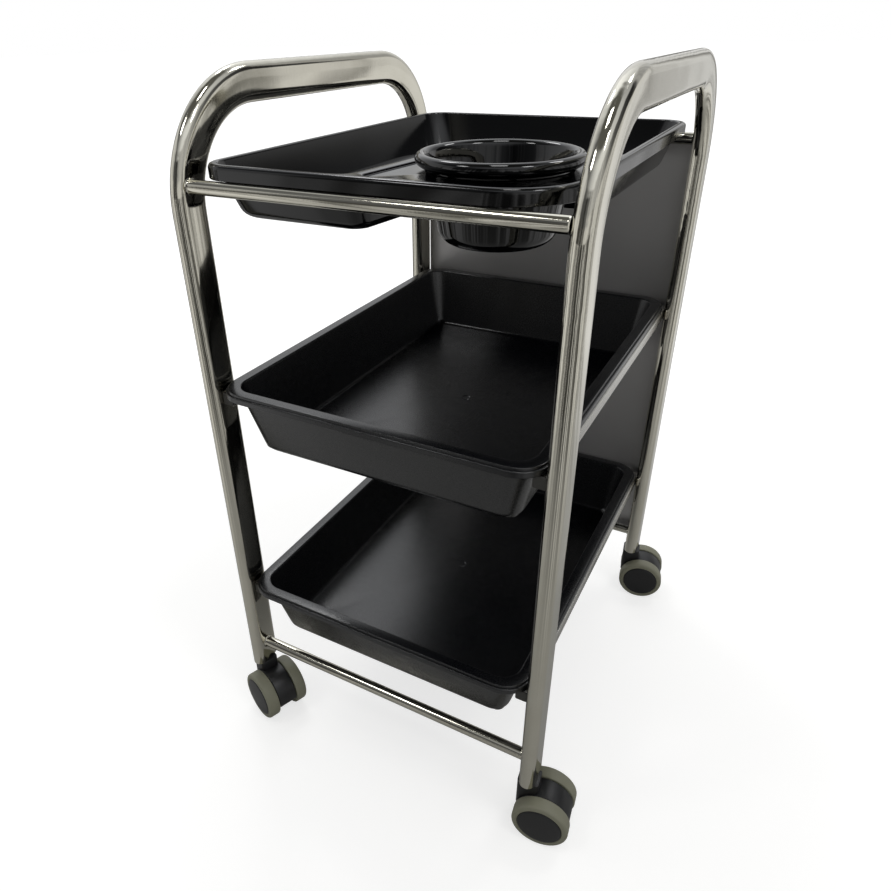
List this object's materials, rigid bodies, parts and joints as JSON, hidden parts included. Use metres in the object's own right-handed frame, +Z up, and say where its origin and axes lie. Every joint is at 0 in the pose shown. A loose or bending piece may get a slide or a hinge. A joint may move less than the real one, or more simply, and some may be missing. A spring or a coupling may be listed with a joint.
{
  "type": "instrument cart",
  "caption": "Instrument cart: looped steel side frames, a top tray with a bowl, two sliding trays, a sheet back and twin-wheel casters.",
  "frame": {"origin": "on the floor, midway between the four legs", "axes": "+Z up, +X to the cart's right, +Y to its back; the open front faces -Y"},
  "size_m": [0.4672, 0.5222, 0.7412],
  "materials": {
    "polished_steel": "mirror-polished stainless steel tube",
    "satin_steel": "satin stainless steel sheet",
    "rail_steel": "plain stainless steel tube",
    "black_plastic": "moulded plastic with a satin face",
    "black_gloss": "moulded plastic, glossy",
    "hood_plastic": "moulded nylon",
    "tread": "olive-grey tread with charcoal caps"
  },
  "bodies": {
    "frame": {"left_side_frame": "polished_steel", "right_side_frame": "polished_steel", "front_top_crossbar": "polished_steel", "rear_top_crossbar": "polished_steel", "front_bottom_crossbar": "polished_steel", "rear_bottom_crossbar": "polished_steel", "back_panel": "satin_steel", "middle_left_rail": "rail_steel", "middle_right_rail": "rail_steel", "lower_left_rail": "rail_steel", "lower_right_rail": "rail_steel"},
    "top_tray": {"top_tray": "black_plastic"},
    "bowl": {"bowl": "black_gloss"},
    "middle_tray": {"middle_tray": "black_plastic"},
    "bottom_tray": {"bottom_tray": "black_plastic"},
    "front_left_caster": {"front_left_fork": "hood_plastic"},
    "front_left_left_wheel": {"front_left_left_wheel": "tread"},
    "front_left_right_wheel": {"front_left_right_wheel": "tread"},
    "front_right_caster": {"front_right_fork": "hood_plastic"},
    "front_right_left_wheel": {"front_right_left_wheel": "tread"},
    "front_right_right_wheel": {"front_right_right_wheel": "tread"},
    "rear_left_caster": {"rear_left_fork": "hood_plastic"},
    "rear_left_left_wheel": {"rear_left_left_wheel": "tread"},
    "rear_left_right_wheel": {"rear_left_right_wheel": "tread"},
    "rear_right_caster": {"rear_right_fork": "hood_plastic"},
    "rear_right_left_wheel": {"rear_right_left_wheel": "tread"},
    "rear_right_right_wheel": {"rear_right_right_wheel": "tread"}
  },
  "joints": [
    {"name": "middle_tray_slide", "type": "slide", "parent": "frame", "child": "middle_tray", "axis": [0, -1, 0], "range_m": [0, 0.35]},
    {"name": "bottom_tray_slide", "type": "slide", "parent": "frame", "child": "bottom_tray", "axis": [0, -1, 0], "range_m": [0, 0.35]},
    {"name": "top_tray_lift", "type": "slide", "parent": "frame", "child": "top_tray", "axis": [0, 0, 1], "range_m": [0, 0.15]},
    {"name": "bowl_lift", "type": "slide", "parent": "top_tray", "child": "bowl", "axis": [0, 0, 1], "range_m": [0, 0.1]},
    {"name": "front_left_swivel", "type": "hinge", "parent": "frame", "child": "front_left_caster", "pos_m": [-0.179, -0.217, 0.0722], "axis": [0, 0, 1], "continuous": true},
    {"name": "front_left_left_spin", "type": "hinge", "parent": "front_left_caster", "child": "front_left_left_wheel", "pos_m": [-0.16162, -0.22364, 0.0303], "axis": [0.3567, 0.9342, 0], "continuous": true},
    {"name": "front_left_right_spin", "type": "hinge", "parent": "front_left_caster", "child": "front_left_right_wheel", "pos_m": [-0.16162, -0.22364, 0.0303], "axis": [0.3567, 0.9342, 0], "continuous": true},
    {"name": "front_right_swivel", "type": "hinge", "parent": "frame", "child": "front_right_caster", "pos_m": [0.179, -0.217, 0.0722], "axis": [0, 0, 1], "continuous": true},
    {"name": "front_right_left_spin", "type": "hinge", "parent": "front_right_caster", "child": "front_right_left_wheel", "pos_m": [0.19747, -0.2148, 0.0303], "axis": [-0.1184, 0.993, 0], "continuous": true},
    {"name": "front_right_right_spin", "type": "hinge", "parent": "front_right_caster", "child": "front_right_right_wheel", "pos_m": [0.19747, -0.2148, 0.0303], "axis": [-0.1184, 0.993, 0], "continuous": true},
    {"name": "rear_left_swivel", "type": "hinge", "parent": "frame", "child": "rear_left_caster", "pos_m": [-0.179, 0.217, 0.0722], "axis": [0, 0, 1], "continuous": true},
    {"name": "rear_left_left_spin", "type": "hinge", "parent": "rear_left_caster", "child": "rear_left_left_wheel", "pos_m": [-0.19636, 0.22367, 0.0303], "axis": [-0.3584, -0.9336, 0], "continuous": true},
    {"name": "rear_left_right_spin", "type": "hinge", "parent": "rear_left_caster", "child": "rear_left_right_wheel", "pos_m": [-0.19636, 0.22367, 0.0303], "axis": [-0.3584, -0.9336, 0], "continuous": true},
    {"name": "rear_right_swivel", "type": "hinge", "parent": "frame", "child": "rear_right_caster", "pos_m": [0.179, 0.217, 0.0722], "axis": [0, 0, 1], "continuous": true},
    {"name": "rear_right_left_spin", "type": "hinge", "parent": "rear_right_caster", "child": "rear_right_left_wheel", "pos_m": [0.19728, 0.22042, 0.0303], "axis": [-0.184, 0.9829, 0], "continuous": true},
    {"name": "rear_right_right_spin", "type": "hinge", "parent": "rear_right_caster", "child": "rear_right_right_wheel", "pos_m": [0.19728, 0.22042, 0.0303], "axis": [-0.184, 0.9829, 0], "continuous": true}
  ]
}
